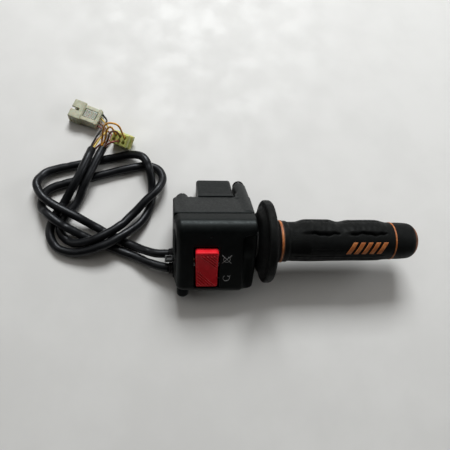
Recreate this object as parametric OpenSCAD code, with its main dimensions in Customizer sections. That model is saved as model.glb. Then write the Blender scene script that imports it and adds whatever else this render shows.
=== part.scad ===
// Right-hand twist throttle for a motorcycle handlebar: ride-by-wire throttle tube and grip,
// two-part switch housing with a kill rocker, and two sleeved leads with their connectors.
//
// Frame: origin on the handlebar's axis at the inboard face of the housing. +X runs along the
// bar to the free end of the grip, +Z is up from the bench that the control lies on.
// Most parts are drawn in the control's own directions, x along the bar, y up on the motorcycle
// and z towards the rider, and lie() then tips them back onto the bench.

/* [Handlebar] */
// Diameter of the handlebar
bar_d = 22.2; // [22.0:0.1:22.4]
// Running clearance between the bar and the throttle tube, on the radius
tube_clearance = 0.05; // [0.05:0.01:0.1]
// Angle that the control is tipped back by as it lies on the bench
lie_roll = 45; // [44:1:46]

/* [Housing] */
// Width of the housing along the bar
housing_w = 63; // [62:0.5:64]
// Height of the housing's top face above the bar's axis
top_t = 25; // [24:0.5:25]
// Depth of the housing's bottom face below the bar's axis
bottom_t = 34; // [33:0.5:35]
// Reach of the rear half towards the rider
rear_r = 18; // [17.5:0.5:19]
// Reach of the front half away from the rider
front_r = 33; // [32:0.5:34]
// Thickness of the housing's walls
wall = 2.5; // [2:0.25:3]
// Gap between the two halves, which the seal fills
split_gap = 0.8; // [0.6:0.1:1]
// Length of the saddle that clamps the bar
clamp_len = 14; // [12:1:15]

/* [Throttle] */
// Angle from closed to full throttle
throttle_turn = 70; // [60:5:75]
// Wire diameter of the return spring
spring_wire = 1.4; // [1.2:0.1:1.4]

/* [Grip] */
// Radius of the grip's hand flange
flange_radius = 32.5; // [31:0.25:32.5]
// Radius of the grip's body
grip_radius = 15.8; // [15.5:0.1:16]
// Distance from the housing's inboard face to the grip's free end
grip_end = 196; // [194:1:198]

/* [Kill switch] */
// Width of the rocker
rocker_w = 18; // [17:0.5:18.5]
// Height of the rocker
rocker_h = 34; // [32:0.5:34.5]
// Angle between the run and stop positions
rocker_throw = 14; // [12:1:14]

/* [Leads] */
// Outer diameter of the leads' sleeves
sheath_d = 7; // [6.5:0.1:7]
// Outer diameter of one wire
wire_d = 1.6; // [1.4:0.1:1.6]

/* [Hidden] */
$fn = 48;
eps = 0.01;

// Height of the bench under the bar's axis, and the corner that rests on it
bench_z = -32.6;
rest_cut = -bench_z / cos(lie_roll);

// Handlebar, tube and bearing
bar_r = bar_d / 2;
clamp_r = bar_r + 0.02;
tube_bore_r = bar_r + tube_clearance;
tube_r = 12.8;
tube_start = 36;
tube_end = 186;
room_r = 15.4;
bush_r = 13.6;
bush_x = 51;
hump_r = 14.8;
bush_len = housing_w - bush_x - 0.5;

// Corner radius of the housing's outline and half of the gap between the halves
corner_r = 5;
half_gap = split_gap / 2;

// Housing screws: [x, y, seat z, head radius] in the control's directions
screw_places = [
    [8, 18.4, -37, 4.2], [57, 20.6, -56, 4.2], [9, -19, -20, 3.4], [8, -38.3, -1.9, 3.2],
];
screw_r = 2.4;
screw_tip = 11;
screw_head_h = 2.6;
boss_wall = 1.4;
insert_boss_r = 5;
insert_r = 3;

// Sensor cover on the front of the housing
cover_x = 20.3;
cover_w = 29.4;
cover_top = 26;
cover_reach = 58.5;
cover_wall = 2;
cover_screw_y = 21;
sensor_y = 6;
sensor_z = -25.4;
arm_w = 1.5;
magnet_x = 28.6;
magnet_w = 4.6;
bracket_x = 24.6;
bracket_w = 19.8;
board_z = -38;

// Gears: the throttle's sector and the sensor's full wheel
drive_teeth = 34;
sensor_teeth = 18;
gear_module = 1;
gear_play = 0.22;
gear_x = 37.6;
gear_w = 5;
hub_gear_r = 14.9;
sector_margin = 12;
mesh_angle = atan2(sensor_z, sensor_y);

// Mark on the grip
badge_x = 133.5;
badge_r = 16.1;
badge_angle = -7;

// Kill switch
rocker_x = 15.5;
rocker_mid_y = -12.8;
rocker_pivot_z = 12;
rocker_crown = 21.6;
window_gap = 0.6;
pin_r = 1.5;
detent_y = -6;
contact_ys = [-9.2, -3.2];
base_top = 5.8;

// Lead exits on the inboard face, [y, z] in the part's frame
switch_exit = [-5, -18.5];
sensor_exit = [-16, -21];
gland_r = 4.8;
gland_len = 3;

// Route of the switch lead's sleeve, from its gland to its open end
switch_route = [
    [-3, -5, -18.5], [-16, -3.5, -20.5], [-32, 4, -27], [-47, 12, -29.1], [-62, 20, -28],
    [-78, 28, -22], [-95, 37, -21.6], [-105, 45, -21.2], [-110, 56, -23], [-106, 66, -27.5],
    [-96, 71.5, -29.1], [-74, 77, -29.1], [-52, 82, -29.1], [-36, 85, -27], [-24.5, 80.5, -22],
    [-19, 69, -22], [-17, 54, -28.5], [-18.5, 39, -29.1], [-26, 24, -27], [-40, 11.5, -21.6],
    [-57, 2, -21.4], [-76, -1.5, -27], [-91, 2.5, -29.1], [-98, 13, -29.1], [-97, 26, -29.1],
    [-89, 41, -29.1], [-77.6, 58, -18.6], [-70.3, 76, -17.7], [-67.5, 87, -22],
];
// Route of the sensor lead's sleeve
sensor_route = [
    [-3, -16, -21], [-16, -12, -24], [-32, -4, -28.5], [-48, 2.5, -29.1], [-64, 9, -29.1],
    [-77, 15, -25.5], [-89, 21, -21.8], [-99, 29, -21.8], [-106, 38, -27.8], [-104, 50, -29.1],
    [-93, 57, -29.1], [-68, 64, -29.1], [-46, 70.5, -29.1], [-32, 74, -29.1], [-21, 75.5, -29.1],
    [-11.5, 71.5, -28], [-8, 62, -25], [-12, 51.5, -21.4], [-22, 41, -21.4], [-33, 29.5, -24],
    [-45, 17.5, -21.6], [-62, 8, -21], [-75, 6, -25], [-84, 9, -29.1], [-90.5, 18, -29.1],
    [-87, 29.5, -29.1], [-78, 42, -28.2], [-71, 58, -22], [-62.7, 78, -21.6],
    [-58.5, 89, -23.5],
];

// Connectors: middle, yaw and size, [length, width, height]
switch_plug_at = [-74, 122, -27.1];
switch_plug_yaw = -22;
switch_plug_size = [26, 17.6, 11];
sensor_plug_at = [-42.6, 96.6, -21.8];
sensor_plug_yaw = -23;
sensor_plug_lean = 25;
sensor_plug_size = [18, 16, 12];
pin_pitch = 4;
row_pitch = 4.2;
cavity_depth = 9;
terminal_r = 1.1;
// Column and row of each sensor wire's hole
sensor_holes = [[-1, 0.5], [0, 0.5], [1, 0.5], [0, -0.5]];

// Middle points of each wire, between the sleeve's end and the connector
switch_wire_mids = [
    [[-63, 98, -18.6], [-57.5, 107, -18.8], [-56, 115, -23]],
    [[-61, 97, -21.6], [-55.4, 105, -22.4], [-55.5, 111.5, -26]],
    [[-64.5, 96, -24], [-59, 103, -25.6], [-57.5, 109.4, -26.5]],
    [[-61, 94, -26.6], [-53.5, 100, -29.4], [-53, 106.5, -30.4]],
];
sensor_wire_mids = [
    [[-56, 95.8, -18.5], [-54.2, 99.8, -10.5], [-50, 99.2, -5.4]],
    [[-54, 94.2, -18], [-51.2, 96, -8.6], [-45.8, 94.6, -4]],
    [[-59, 96, -20.5], [-55.2, 102.4, -7], [-44.5, 98, 1]],
    [[-55, 90, -23.5], [-54.6, 88, -15.5], [-48.8, 86.8, -7]],
];

plastic_black = [0.17, 0.18, 0.18];
rubber_black = [0.1, 0.1, 0.1];
orange = [0.8, 0.4, 0.13];
steel = [0.72, 0.73, 0.75];
brass = [0.75, 0.6, 0.3];

// ---------------------------------------------------------------- helpers

// Tips a part drawn in the control's directions back onto the bench
module lie() {
    rotate([lie_roll, 0, 0]) children();
}

// Places a shape drawn around +Z so that it runs along +X from x
module along_x(x, y = 0, z = 0) {
    translate([x, y, z]) rotate([90, 0, 90]) children();
}

// Rectangle with round corners, its lower left corner at the origin
module round_rect(w, h, r) {
    translate([r, 0]) square([w - 2 * r, h]);
    translate([0, r]) square([w, h - 2 * r]);
    for (x = [r, w - r], y = [r, h - r]) translate([x, y]) circle(r);
}

// Ring between two radii, from x to x + len
module ring_x(x, len, outer, inner) {
    along_x(x) difference() {
        cylinder(r = outer, h = len);
        translate([0, 0, -1]) cylinder(r = inner, h = len + 2);
    }
}

function unit(v) = v / norm(v);
function arc(cx, cy, r, from, to, steps) =
    [for (i = [0:steps]) let (a = from + (to - from) * i / steps) [cx + r * cos(a), cy + r * sin(a)]];

// Direction of a route at one of its points, with given directions at both ends
function heading(p, i, first, last) =
    i == 0 ? unit(first) : i == len(p) - 1 ? unit(last) : unit(p[i + 1] - p[i - 1]);

// Tube of sides facets swept along the points p
module sweep(p, r, first, last, up = [0, 0, 1], sides = 8) {
    n = len(p);
    pts = [for (i = [0:n - 1]) let (
        t = heading(p, i, first, last), s = unit(cross(t, up)), u = cross(s, t))
        for (k = [0:sides - 1]) let (a = 360 * k / sides) p[i] + r * (cos(a) * s + sin(a) * u)];
    faces = concat(
        [[for (k = [0:sides - 1]) k]],
        [[for (k = [sides - 1:-1:0]) (n - 1) * sides + k]],
        [for (i = [0:n - 2], k = [0:sides - 1], half = [0, 1]) let (
            k2 = (k + 1) % sides, a = i * sides, b = a + sides)
            half == 0 ? [a + k, b + k, b + k2] : [a + k, b + k2, a + k2]]);
    polyhedron(pts, faces, convexity = 10);
}

// Coil spring around +X, starting at x
module coil(x, mean_r, wire_r, turns, pitch, steps, sides = 6) {
    n = turns * steps;
    p = [for (i = [0:n]) let (a = 360 * i / steps)
        [x + pitch * i / steps, mean_r * cos(a), mean_r * sin(a)]];
    first = p[1] - p[0];
    last = p[n] - p[n - 1];
    sweep(p, wire_r, first, last, up = [1, 0, 0], sides = sides);
}

// Outline of an involute gear: the tooth at angle 0 is centred on the x axis
function roll_angle(r, base) = r <= base ? 0 : tan(acos(base / r)) * 180 / PI - acos(base / r);
function gear_outline(teeth, m) = let (
        pitch = m * teeth / 2, base = pitch * cos(20), tip = pitch + 0.85 * m, root = pitch - 1.2 * m,
        radii = [root, max(base, root + 0.1), (pitch + base) / 2, pitch, pitch + 0.45 * m, tip],
        half = 90 / teeth - gear_play / pitch * 180 / PI + roll_angle(pitch, base))
    [for (k = [0:teeth - 1], j = [0:11]) let (
        up_flank = j < 6, r = radii[up_flank ? j : 11 - j],
        a = 360 * k / teeth + (up_flank ? -1 : 1) * (half - roll_angle(r, base)))
        [r * cos(a), r * sin(a)]];

// ---------------------------------------------------------------- housing

// Side profile shared by the front half and its cavity, drawn as [y, z]; shrink insets it
module front_profile(shrink) {
    top = top_t - shrink;
    front = -front_r + shrink;
    cut = -rest_cut + shrink * sqrt(2);
    low = -bottom_t + shrink;
    nose = 5 - shrink;
    polygon(concat(
        [[low, 1], [top, 1]],
        arc(top - nose, front + nose, nose, 0, -90, 5),
        [[cut - front, front], [low, cut - low]]));
}

// Outline of the housing seen from the rider; shrink insets it
module housing_outline(shrink) {
    translate([shrink, -bottom_t + shrink])
        round_rect(housing_w - 2 * shrink, top_t + bottom_t - 2 * shrink, corner_r - shrink);
}

module bar_hole() {
    along_x(-1) cylinder(r = clamp_r, h = clamp_len + 2);
}

// Room inside the housing for the throttle tube's gear, spring and bush
module drive_room() {
    along_x(clamp_len) cylinder(r = room_r, h = bush_x - clamp_len);
    along_x(bush_x - 1) cylinder(r = bush_r, h = bush_len + 1);
    along_x(bush_x) cylinder(r = tube_r + 0.6, h = housing_w);
}

// Holes for the two glands, in the part's frame
module gland_holes() {
    for (e = [switch_exit, sensor_exit])
        translate([-1, e.x, e.y]) rotate([0, 90, 0]) cylinder(r = gland_r - 1, h = 8);
}

module front_housing() color(plastic_black) difference() {
    lie() difference() {
        union() {
            intersection() {
                translate([0, 0, -60]) linear_extrude(60 - half_gap) housing_outline(0);
                along_x(0) linear_extrude(housing_w) front_profile(0);
            }
            // screw bosses, and the web that joins the lowest one
            for (s = screw_places) translate([s.x, s.y, s.z])
                cylinder(r = s[3] + boss_wall, h = -s.z - half_gap);
            translate([3.4, -38.3, -1.9]) cube([9.2, 6, 1.5]);
        }
        // cavity, leaving the bar saddle and the bush saddle
        difference() {
            intersection() {
                translate([0, 0, -60]) linear_extrude(61) housing_outline(wall);
                along_x(0) linear_extrude(housing_w) front_profile(wall);
            }
            translate([0, -15, -16]) cube([clamp_len, 34, 17]);
            translate([bush_x, -18, -18]) cube([20, 36, 19]);
            for (s = screw_places) translate([s.x, s.y, -60]) cylinder(r = s[3] + boss_wall, h = 61);
        }
        bar_hole();
        drive_room();
        // window that the sensor gear looks through
        translate([cover_x + 3.5, -8, -60]) cube([cover_w - 5, 26, 39]);
        for (s = screw_places) {
            translate([s.x, s.y, -60]) cylinder(r = screw_r + 0.3, h = 61);
            translate([s.x, s.y, -60]) cylinder(r = s[3] + 0.4, h = 60 + s.z);
        }
    }
    gland_holes();
}

// Rear half: panel round the rocker, a lower step beside the grip and a shoulder above it
module rear_body() {
    step_x = 52.5;
    intersection() {
        union() {
            translate([0, 0, half_gap]) linear_extrude(9) housing_outline(0);
            translate([1.5, -bottom_t + 0.5, 5])
                linear_extrude(rear_r - 5) round_rect(step_x - 1.5, top_t + bottom_t - 1, 5);
            translate([step_x - 12, -bottom_t + 1, 5])
                linear_extrude(7) round_rect(housing_w - step_x + 11.5, top_t + bottom_t - 2, 5);
            translate([step_x - 12, 9, 5])
                linear_extrude(rear_r - 6) round_rect(housing_w - step_x + 11.5, top_t - 9.5, 4);
            // hump over the tube's bush
            along_x(step_x - 2) intersection() {
                cylinder(r = hump_r, h = housing_w - step_x + 2);
                translate([-hump_r, half_gap, 0]) cube([2 * hump_r, hump_r, housing_w]);
            }
        }
        along_x(0) linear_extrude(housing_w) polygon(concat(
            [[-bottom_t, 0], [top_t, 0]],
            arc(top_t - 4, rear_r - 4, 4, 0, 90, 5),
            arc(-bottom_t + 4, rear_r - 4, 4, 90, 180, 5)));
    }
}

module rear_housing() color(plastic_black) difference() {
    lie() difference() {
        union() {
            rear_body();
            translate([8, -38.3, half_gap]) cylinder(r = 4.6, h = screw_tip);
            translate([3.4, -38.3, half_gap]) cube([9.2, 6, screw_tip]);
        }
        difference() {
            translate([0, 0, -1]) linear_extrude(rear_r - wall + 1) intersection() {
                housing_outline(wall);
                translate([0, -60]) square([50, 120]);
            }
            translate([0, -15, -2]) cube([clamp_len, 34, 19]);
            translate([bush_x - 6, -18, -2]) cube([20, 36, 20]);
            for (s = screw_places) translate([s.x, s.y, -2]) cylinder(r = insert_boss_r, h = 20);
            // ears that carry the rocker's pin
            for (x = [rocker_x - 3.8, rocker_x + rocker_w + 0.8])
                translate([x, rocker_mid_y - 4, 8.5]) cube([3, 8, 9]);
        }
        // room under the lower step
        translate([49, -bottom_t + wall, -1]) cube([housing_w - wall - 49, 13, 10.5]);
        bar_hole();
        drive_room();
        // rocker window
        translate([rocker_x - window_gap, rocker_mid_y - rocker_h / 2 - window_gap, 8])
            cube([rocker_w + 2 * window_gap, rocker_h + 2 * window_gap, 20]);
        rocker_pin_shape();
        for (s = screw_places) translate([s.x, s.y, -1]) cylinder(r = insert_r, h = screw_tip + 1);
    }
    gland_holes();
}

// Seal pressed between the halves, just inside their outer edge
module housing_seal() color("black") difference() {
    lie() difference() {
        translate([0, 0, -half_gap]) linear_extrude(split_gap) difference() {
            housing_outline(0.9);
            housing_outline(wall);
        }
        along_x(-1) cylinder(r = bar_r + 1, h = 6);
        along_x(bush_x) cylinder(r = bush_r + 0.1, h = 12);
        for (s = screw_places) translate([s.x, s.y, -5]) cylinder(r = s[3] + boss_wall, h = 10);
    }
    for (e = [switch_exit, sensor_exit])
        translate([-1, e.x, e.y]) rotate([0, 90, 0]) cylinder(r = gland_r, h = 8);
}

// Pan head screws, driven from the front into the rear half's inserts
module housing_screws() color(steel) lie() for (s = screw_places) difference() {
    union() {
        translate([s.x, s.y, s.z - screw_head_h]) cylinder(r = s[3], h = screw_head_h);
        translate([s.x, s.y, s.z - eps]) cylinder(r = screw_r, h = screw_tip - 1 - s.z);
    }
    translate([s.x, s.y, s.z - screw_head_h - 1]) cylinder(r = 1.9, h = 2.6, $fn = 6);
}

module screw_inserts() color(brass) lie() for (s = screw_places)
    translate([s.x, s.y, half_gap]) difference() {
        cylinder(r = insert_r, h = screw_tip - half_gap);
        translate([0, 0, -1]) cylinder(r = screw_r, h = screw_tip + 2);
    }

// ---------------------------------------------------------------- position sensor

// Side profile of the sensor cover, drawn as [y, z]; shrink insets it
module cover_profile(shrink) {
    top = cover_top - shrink;
    reach = -cover_reach + shrink;
    cut = -rest_cut + shrink * sqrt(2);
    polygon(concat(
        [[cut + front_r, -front_r], [top, -front_r]],
        arc(top - 3, reach + 3, 3, 0, -90, 4),
        [[cut - reach, reach]]));
}

module sensor_cover() color(plastic_black) lie() difference() {
    intersection() {
        along_x(cover_x) linear_extrude(cover_w) cover_profile(0);
        translate([cover_x, -20, -60]) linear_extrude(60) round_rect(cover_w, 20 + cover_top, 4);
    }
    difference() {
        along_x(cover_x + cover_wall) linear_extrude(cover_w - 2 * cover_wall) intersection() {
            cover_profile(cover_wall);
            translate([-20, -60]) square([20 + top_t - wall, 60]);
        }
        cover_screw_axes() cylinder(r = 2.8, h = 60);
    }
    cover_screw_axes() cylinder(r = 1.25, h = 60);
}

module cover_screw_axes() {
    for (x = [cover_x + 4, cover_x + cover_w - 4])
        translate([x, cover_screw_y, -60]) children();
}

module cover_screws() color(steel) lie() cover_screw_axes() {
    translate([0, 0, 60 - cover_reach - 1.4]) cylinder(r = 2.2, h = 1.4);
    translate([0, 0, 60 - cover_reach - eps]) cylinder(r = 1.25, h = cover_reach - 29);
}

// Shelf across the cover's inside, with two bearing arms for the sensor gear's shaft
module sensor_bracket() color("dimgray") lie() difference() {
    union() {
        translate([cover_x + cover_wall, 14.5, -46]) cube([cover_w - 2 * cover_wall, 2.5, 10]);
        for (x = [bracket_x, bracket_x + bracket_w - arm_w]) along_x(x) linear_extrude(arm_w)
            polygon([[2, -21.4], [10, -21.4], [10, -36], [15, -36], [15, -46], [10, -46], [2, -38]]);
    }
    along_x(bracket_x - 1, sensor_y, sensor_z) cylinder(r = 2.05, h = bracket_w + 2);
}

// Gear on the sensor's shaft, turned by the gear on the throttle tube
module sensor_gear() color("ivory") lie() along_x(0, sensor_y, sensor_z) {
    translate([0, 0, gear_x]) linear_extrude(gear_w)
        rotate(mesh_angle + 180 + 180 / sensor_teeth)
            polygon(gear_outline(sensor_teeth, gear_module));
    translate([0, 0, bracket_x + 0.2]) cylinder(r = 2, h = bracket_w - 0.4);
    translate([0, 0, magnet_x + magnet_w]) cylinder(r = 4.5, h = gear_x - magnet_x - magnet_w + eps);
}

// Ring magnet on the shaft, read by the two chips on the board between the bracket's arms
module sensor_magnet() color(steel) lie()
    translate([0, sensor_y, sensor_z]) ring_x(magnet_x, magnet_w, 6, 2);

module sensor_board() color("darkgreen") lie() {
    translate([bracket_x + arm_w, sensor_y - 7, board_z]) cube([bracket_w - 2 * arm_w, 14, 1.6]);
    for (y = [-4.5, 0.5]) translate([magnet_x, sensor_y + y, board_z + 1.6 - eps])
        cube([4, 4, 1.8]);
}

// ---------------------------------------------------------------- throttle

module throttle_tube() color([0.2, 0.2, 0.22]) lie()
    ring_x(tube_start, tube_end - tube_start, tube_r, tube_bore_r);

// Gear sector on a hub: its teeth reach only the sensor's side of the tube, over the whole turn
module drive_gear() color("ivory") lie() along_x(gear_x) difference() {
    union() {
        cylinder(r = hub_gear_r, h = gear_w);
        linear_extrude(gear_w) intersection() {
            rotate(mesh_angle) polygon(gear_outline(drive_teeth, gear_module));
            rotate(mesh_angle) polygon(concat([[0, 0]],
                arc(0, 0, 20, -throttle_turn - sector_margin, sector_margin, 8)));
        }
    }
    translate([0, 0, -1]) cylinder(r = tube_r, h = gear_w + 2);
}

module tube_bush() color("ivory") lie() ring_x(bush_x, bush_len, bush_r, tube_r + 0.06);

module return_spring() color(steel) lie()
    coil(44.2, 14, spring_wire / 2, 4, 1.5, 20);

// Rubber grip with its hand flange: outer line from the housing side to the closed end
function grip_line() = concat(
    [[64, tube_r], [64, 19]],
    arc(68, 19, 4, 180, 125, 3),
    [[67.4, 24.2], [70, 26], [70, flange_radius - 1.5]],
    arc(72.5, flange_radius - 2.5, 2.5, 150, 30, 6),
    [[75, 29], [76, 22]],
    arc(80.6, 21, 4, 190, 262, 4),
    [[81.2, 16.4], [81.2, 14.6], [84.2, 14.6], [84.2, 16.2], [87.6, 16.2], [88.4, 15.5]],
    [[96, 15.4], [104, grip_radius], [138, 15.5], [160, grip_radius]],
    [[173.4, 15.2], [173.4, 14.4], [174.7, 14.4], [174.7, 15]],
    arc(grip_end - 9, 5.9, 9, 90, 0, 8),
    [[grip_end, 0], [tube_end, 0], [tube_end, tube_r]]);

module grip_rubber() color(rubber_black) lie()
    rotate([0, 90, 0]) rotate_extrude($fn = 72)
        polygon([for (p = grip_line()) [p.y, p.x]]);

module hub_ring() color(orange) lie() ring_x(81.2, 3, 16.7, 14.6);

module end_ring() color(orange) lie() ring_x(173.4, 1.3, 15.4, 14.4);

// Raised mark of plain slanted bars on the rider's side of the grip
module grip_badge() color(orange) lie() {
    intersection() {
        ring_x(badge_x, 36, badge_r, grip_radius + 0.02);
        rotate([badge_angle, 0, 0]) for (i = [0:4])
            translate([badge_x + 6.2 * i, 0, 10]) linear_extrude(10)
                polygon([[0, -5], [3.6, -5], [8.6, 5], [5, 5]]);
    }
}

// ---------------------------------------------------------------- kill switch

// Rocker, drawn level around its pivot and tipped into its run position
module rocker_pose() {
    translate([0, rocker_mid_y, rocker_pivot_z]) rotate([rocker_throw / 2, 0, 0]) children();
}

module kill_rocker() color([0.75, 0.08, 0.12]) lie() rocker_pose() difference() {
    h = rocker_crown - rocker_pivot_z;
    reach = rocker_h / 2;
    along_x(rocker_x) linear_extrude(rocker_w) difference() {
        polygon([[-reach, 3], [-reach + 1.2, h], [reach - 1.2, h], [reach, 5], [7, 1], [4, -3.2],
            [1.2, -3.6], [-2, -4.5], [-9.8, -4.5], [-11, -1]]);
        // shallow finger hollow along the rocker
        translate([0, h + 58.9]) circle(60, $fn = 180);
    }
    along_x(rocker_x - 1) cylinder(r = pin_r + 0.05, h = rocker_w + 2);
    translate([rocker_x + 4, detent_y, -5]) cylinder(r = 1.65, h = 6);
    translate([rocker_x + 10, -10.2, -5]) cube([5, 8, 1.7]);
}

module rocker_pin_shape() {
    along_x(rocker_x - 3.4, rocker_mid_y, rocker_pivot_z) cylinder(r = pin_r, h = rocker_w + 6.8);
}

module rocker_pin() color(steel) lie() rocker_pin_shape();

// Bridge that joins the two fixed contacts in the run position
module rocker_contact() color(brass) lie() rocker_pose() {
    translate([rocker_x + 10.1, -10.1, -4.4]) cube([4.8, 7.8, 1.1]);
    for (y = contact_ys) translate([rocker_x + 12.5, y, -5.1]) cylinder(r = 1.2, h = 0.7 + eps);
}

module detent_spring() color(steel) lie() rocker_pose()
    translate([rocker_x + 4, detent_y, -3.2]) rotate([0, -90, 0]) coil(0, 1.2, 0.22, 4, 0.9, 12);

module detent_ball() color(steel) lie() rocker_pose()
    translate([rocker_x + 4, detent_y, -4.9]) sphere(r = 1.5, $fn = 32);

module switch_base() color("saddlebrown") lie() difference() {
    translate([rocker_x - 0.4, wall - bottom_t, base_top - 3]) cube([rocker_w + 0.8, 18.5, 3]);
    // notch that the detent ball settles into
    along_x(rocker_x + 1.5, rocker_mid_y + detent_y + 0.6, base_top + 1.4) cylinder(r = 2.6, h = 5);
    for (y = contact_ys) translate([rocker_x + 12.5, rocker_mid_y + y, base_top - 0.8]) {
        cylinder(r = 2, h = 2);
        translate([0, 0, -4]) cylinder(r = 0.8, h = 5);
    }
}

// Riveted contacts through the switch base
module fixed_contacts() color(brass) lie() for (y = contact_ys) {
    translate([rocker_x + 12.5, rocker_mid_y + y, base_top - 4.2]) {
        translate([0, 0, 3.4]) cylinder(r = 1.6, h = 0.5);
        cylinder(r = 0.8, h = 3.5);
        cylinder(r = 1.8, h = 1.2);
    }
}

// ---------------------------------------------------------------- leads

module gland(e) {
    translate([-gland_len, e.x, e.y]) rotate([0, 90, 0]) difference() {
        union() {
            cylinder(r1 = gland_r - 0.6, r2 = gland_r, h = gland_len);
            cylinder(r = gland_r - 1, h = gland_len + 3.5);
        }
        translate([0, 0, 0.01]) cylinder(r = sheath_d / 2 - 1, h = 12);
    }
}

module switch_gland() color(rubber_black) gland(switch_exit);

module sensor_gland() color(rubber_black) gland(sensor_exit);

// Moulded clip between the two leads, on the inboard face
module lead_clip() color([0.35, 0.36, 0.36]) difference() {
    translate([-6.5, -12.3, -17]) cube([6.5, 4.6, 6.6]);
    translate([-7, switch_exit.x, switch_exit.y]) rotate([0, 90, 0])
        cylinder(r = gland_r + 0.1, h = 8);
}

function end_dir(p) = unit(p[len(p) - 1] - p[len(p) - 2]);

module switch_sheath() color(rubber_black)
    sweep(switch_route, sheath_d / 2, [-1, 0, 0], end_dir(switch_route));

module sensor_sheath() color(rubber_black)
    sweep(sensor_route, sheath_d / 2, [-1, 0, 0], end_dir(sensor_route));

// Turns a point by yaw about Z
function yawed(v, yaw) =
    [v.x * cos(yaw) - v.y * sin(yaw), v.x * sin(yaw) + v.y * cos(yaw), v.z];
// Turns a point by lean about X, then by yaw about Z
function tipped(v, lean, yaw) =
    yawed([v.x, v.y * cos(lean) - v.z * sin(lean), v.y * sin(lean) + v.z * cos(lean)], yaw);

// Where wire i leaves the sleeve's end: the four stand in a square, high ones first
function wire_start(route, i) = let (
        t = end_dir(route), s = unit(cross(t, [0, 0, 1])), u = cross(s, t),
        side = i % 2 == 0 ? -1 : 1, rise = i < 2 ? 1 : -1)
    route[len(route) - 1] + 1.2 * (side * s + rise * u);

function switch_wire_end(i) = switch_plug_at
    + yawed([switch_plug_size.x / 2, (1.5 - i) * pin_pitch, 0], switch_plug_yaw);
function sensor_wire_end(i) = sensor_plug_at
    + tipped([sensor_holes[i].x * pin_pitch, sensor_holes[i].y * row_pitch, sensor_plug_size.x / 2],
        sensor_plug_lean, sensor_plug_yaw);

module switch_wire(i) {
    p = concat([wire_start(switch_route, i)], switch_wire_mids[i], [switch_wire_end(i)]);
    sweep(p, wire_d / 2, end_dir(switch_route), yawed([-1, 0, 0], switch_plug_yaw));
}

module sensor_wire(i) {
    p = concat([wire_start(sensor_route, i)], sensor_wire_mids[i], [sensor_wire_end(i)]);
    sweep(p, wire_d / 2, end_dir(sensor_route),
        tipped([0, 0, -1], sensor_plug_lean, sensor_plug_yaw), up = [1, 0, 0.3]);
}

// Connector shell: a wide mating end with a cavity, and a narrower wire end
module plug_shell(size, rows, columns) {
    l = size.x;
    w = size.y;
    h = size.z;
    difference() {
        union() {
            translate([-l / 2, -w / 2, -h / 2]) cube([l * 0.42, w, h]);
            translate([-l / 2, -w / 2 + 1.3, -h / 2 + 0.7]) cube([l, w - 2.6, h - 1.4]);
        }
        translate([-l / 2 - 1, -w / 2 + 2.6, -h / 2 + 2]) cube([cavity_depth + 1, w - 5.2, h - 4]);
        // slot for the mating half's latch, and the window of the secondary lock
        translate([-l / 2 - 1, -1.2, h / 2 - 2.5]) cube([8, 2.4, 4]);
        translate([-1.5, -4, h / 2 - 2.2]) cube([l / 2 - 1.5, 8, 4]);
        at_holes(size, rows, columns) translate([0, 0, -1]) cylinder(r = terminal_r, h = 5);
    }
}

// Places a shape at each of the holes in the floor of a connector's cavity
module at_holes(size, rows, columns) {
    for (i = [0:columns - 1], j = [0:rows - 1])
        along_x(cavity_depth - size.x / 2, (i - (columns - 1) / 2) * pin_pitch,
            (j - (rows - 1) / 2) * row_pitch) children();
}

module plug_lock(size) {
    translate([-1.4, -3.9, size.z / 2 - 2.2]) cube([size.x / 2 - 1.7, 7.8, 1.2]);
}

// Terminals: a barrel in its hole and a blade in the mating cavity
module plug_terminals(size, rows, columns) {
    at_holes(size, rows, columns) {
        cylinder(r = terminal_r, h = 4);
        translate([-0.7, -0.4, -3.5]) cube([1.4, 0.8, 4]);
    }
}

module at_switch_plug() {
    translate(switch_plug_at) rotate([0, 0, switch_plug_yaw]) children();
}

// The sensor's connector leans with its wire end up
module at_sensor_plug() {
    translate(sensor_plug_at) rotate([sensor_plug_lean, 0, sensor_plug_yaw])
        rotate([0, 0, -90]) rotate([0, -90, 0]) children();
}

module switch_plug() color([0.85, 0.85, 0.76]) at_switch_plug() plug_shell(switch_plug_size, 1, 4);
module switch_plug_lock() color([0.7, 0.72, 0.68]) at_switch_plug() plug_lock(switch_plug_size);
module switch_plug_terminals() color(steel) at_switch_plug() plug_terminals(switch_plug_size, 1, 4);
module sensor_plug() color([0.75, 0.76, 0.42]) at_sensor_plug() plug_shell(sensor_plug_size, 2, 3);
module sensor_plug_lock() color([0.7, 0.7, 0.5]) at_sensor_plug() plug_lock(sensor_plug_size);
module sensor_plug_terminals() color(steel) at_sensor_plug() plug_terminals(sensor_plug_size, 2, 3);

front_housing();
rear_housing();
housing_seal();
housing_screws();
screw_inserts();
sensor_cover();
cover_screws();
sensor_bracket();
sensor_board();
sensor_gear();
sensor_magnet();
throttle_tube();
drive_gear();
tube_bush();
return_spring();
grip_rubber();
hub_ring();
end_ring();
grip_badge();
kill_rocker();
rocker_pin();
rocker_contact();
detent_spring();
detent_ball();
switch_base();
fixed_contacts();
switch_gland();
sensor_gland();
lead_clip();
switch_sheath();
sensor_sheath();
switch_plug();
switch_plug_lock();
switch_plug_terminals();
sensor_plug();
sensor_plug_lock();
sensor_plug_terminals();
color([0.25, 0.24, 0.3]) switch_wire(0);  // switch_wire_1
color([0.75, 0.6, 0.2]) switch_wire(1);  // switch_wire_2
color([0.6, 0.4, 0.2]) switch_wire(2);  // switch_wire_3
color([0.55, 0.25, 0.25]) switch_wire(3);  // switch_wire_4
color([0.85, 0.5, 0.05]) sensor_wire(0);  // sensor_wire_1
color([0.5, 0.25, 0.12]) sensor_wire(1);  // sensor_wire_2
color([0.8, 0.6, 0.1]) sensor_wire(2);  // sensor_wire_3
color([0.6, 0.35, 0.2]) sensor_wire(3);  // sensor_wire_4
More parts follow.
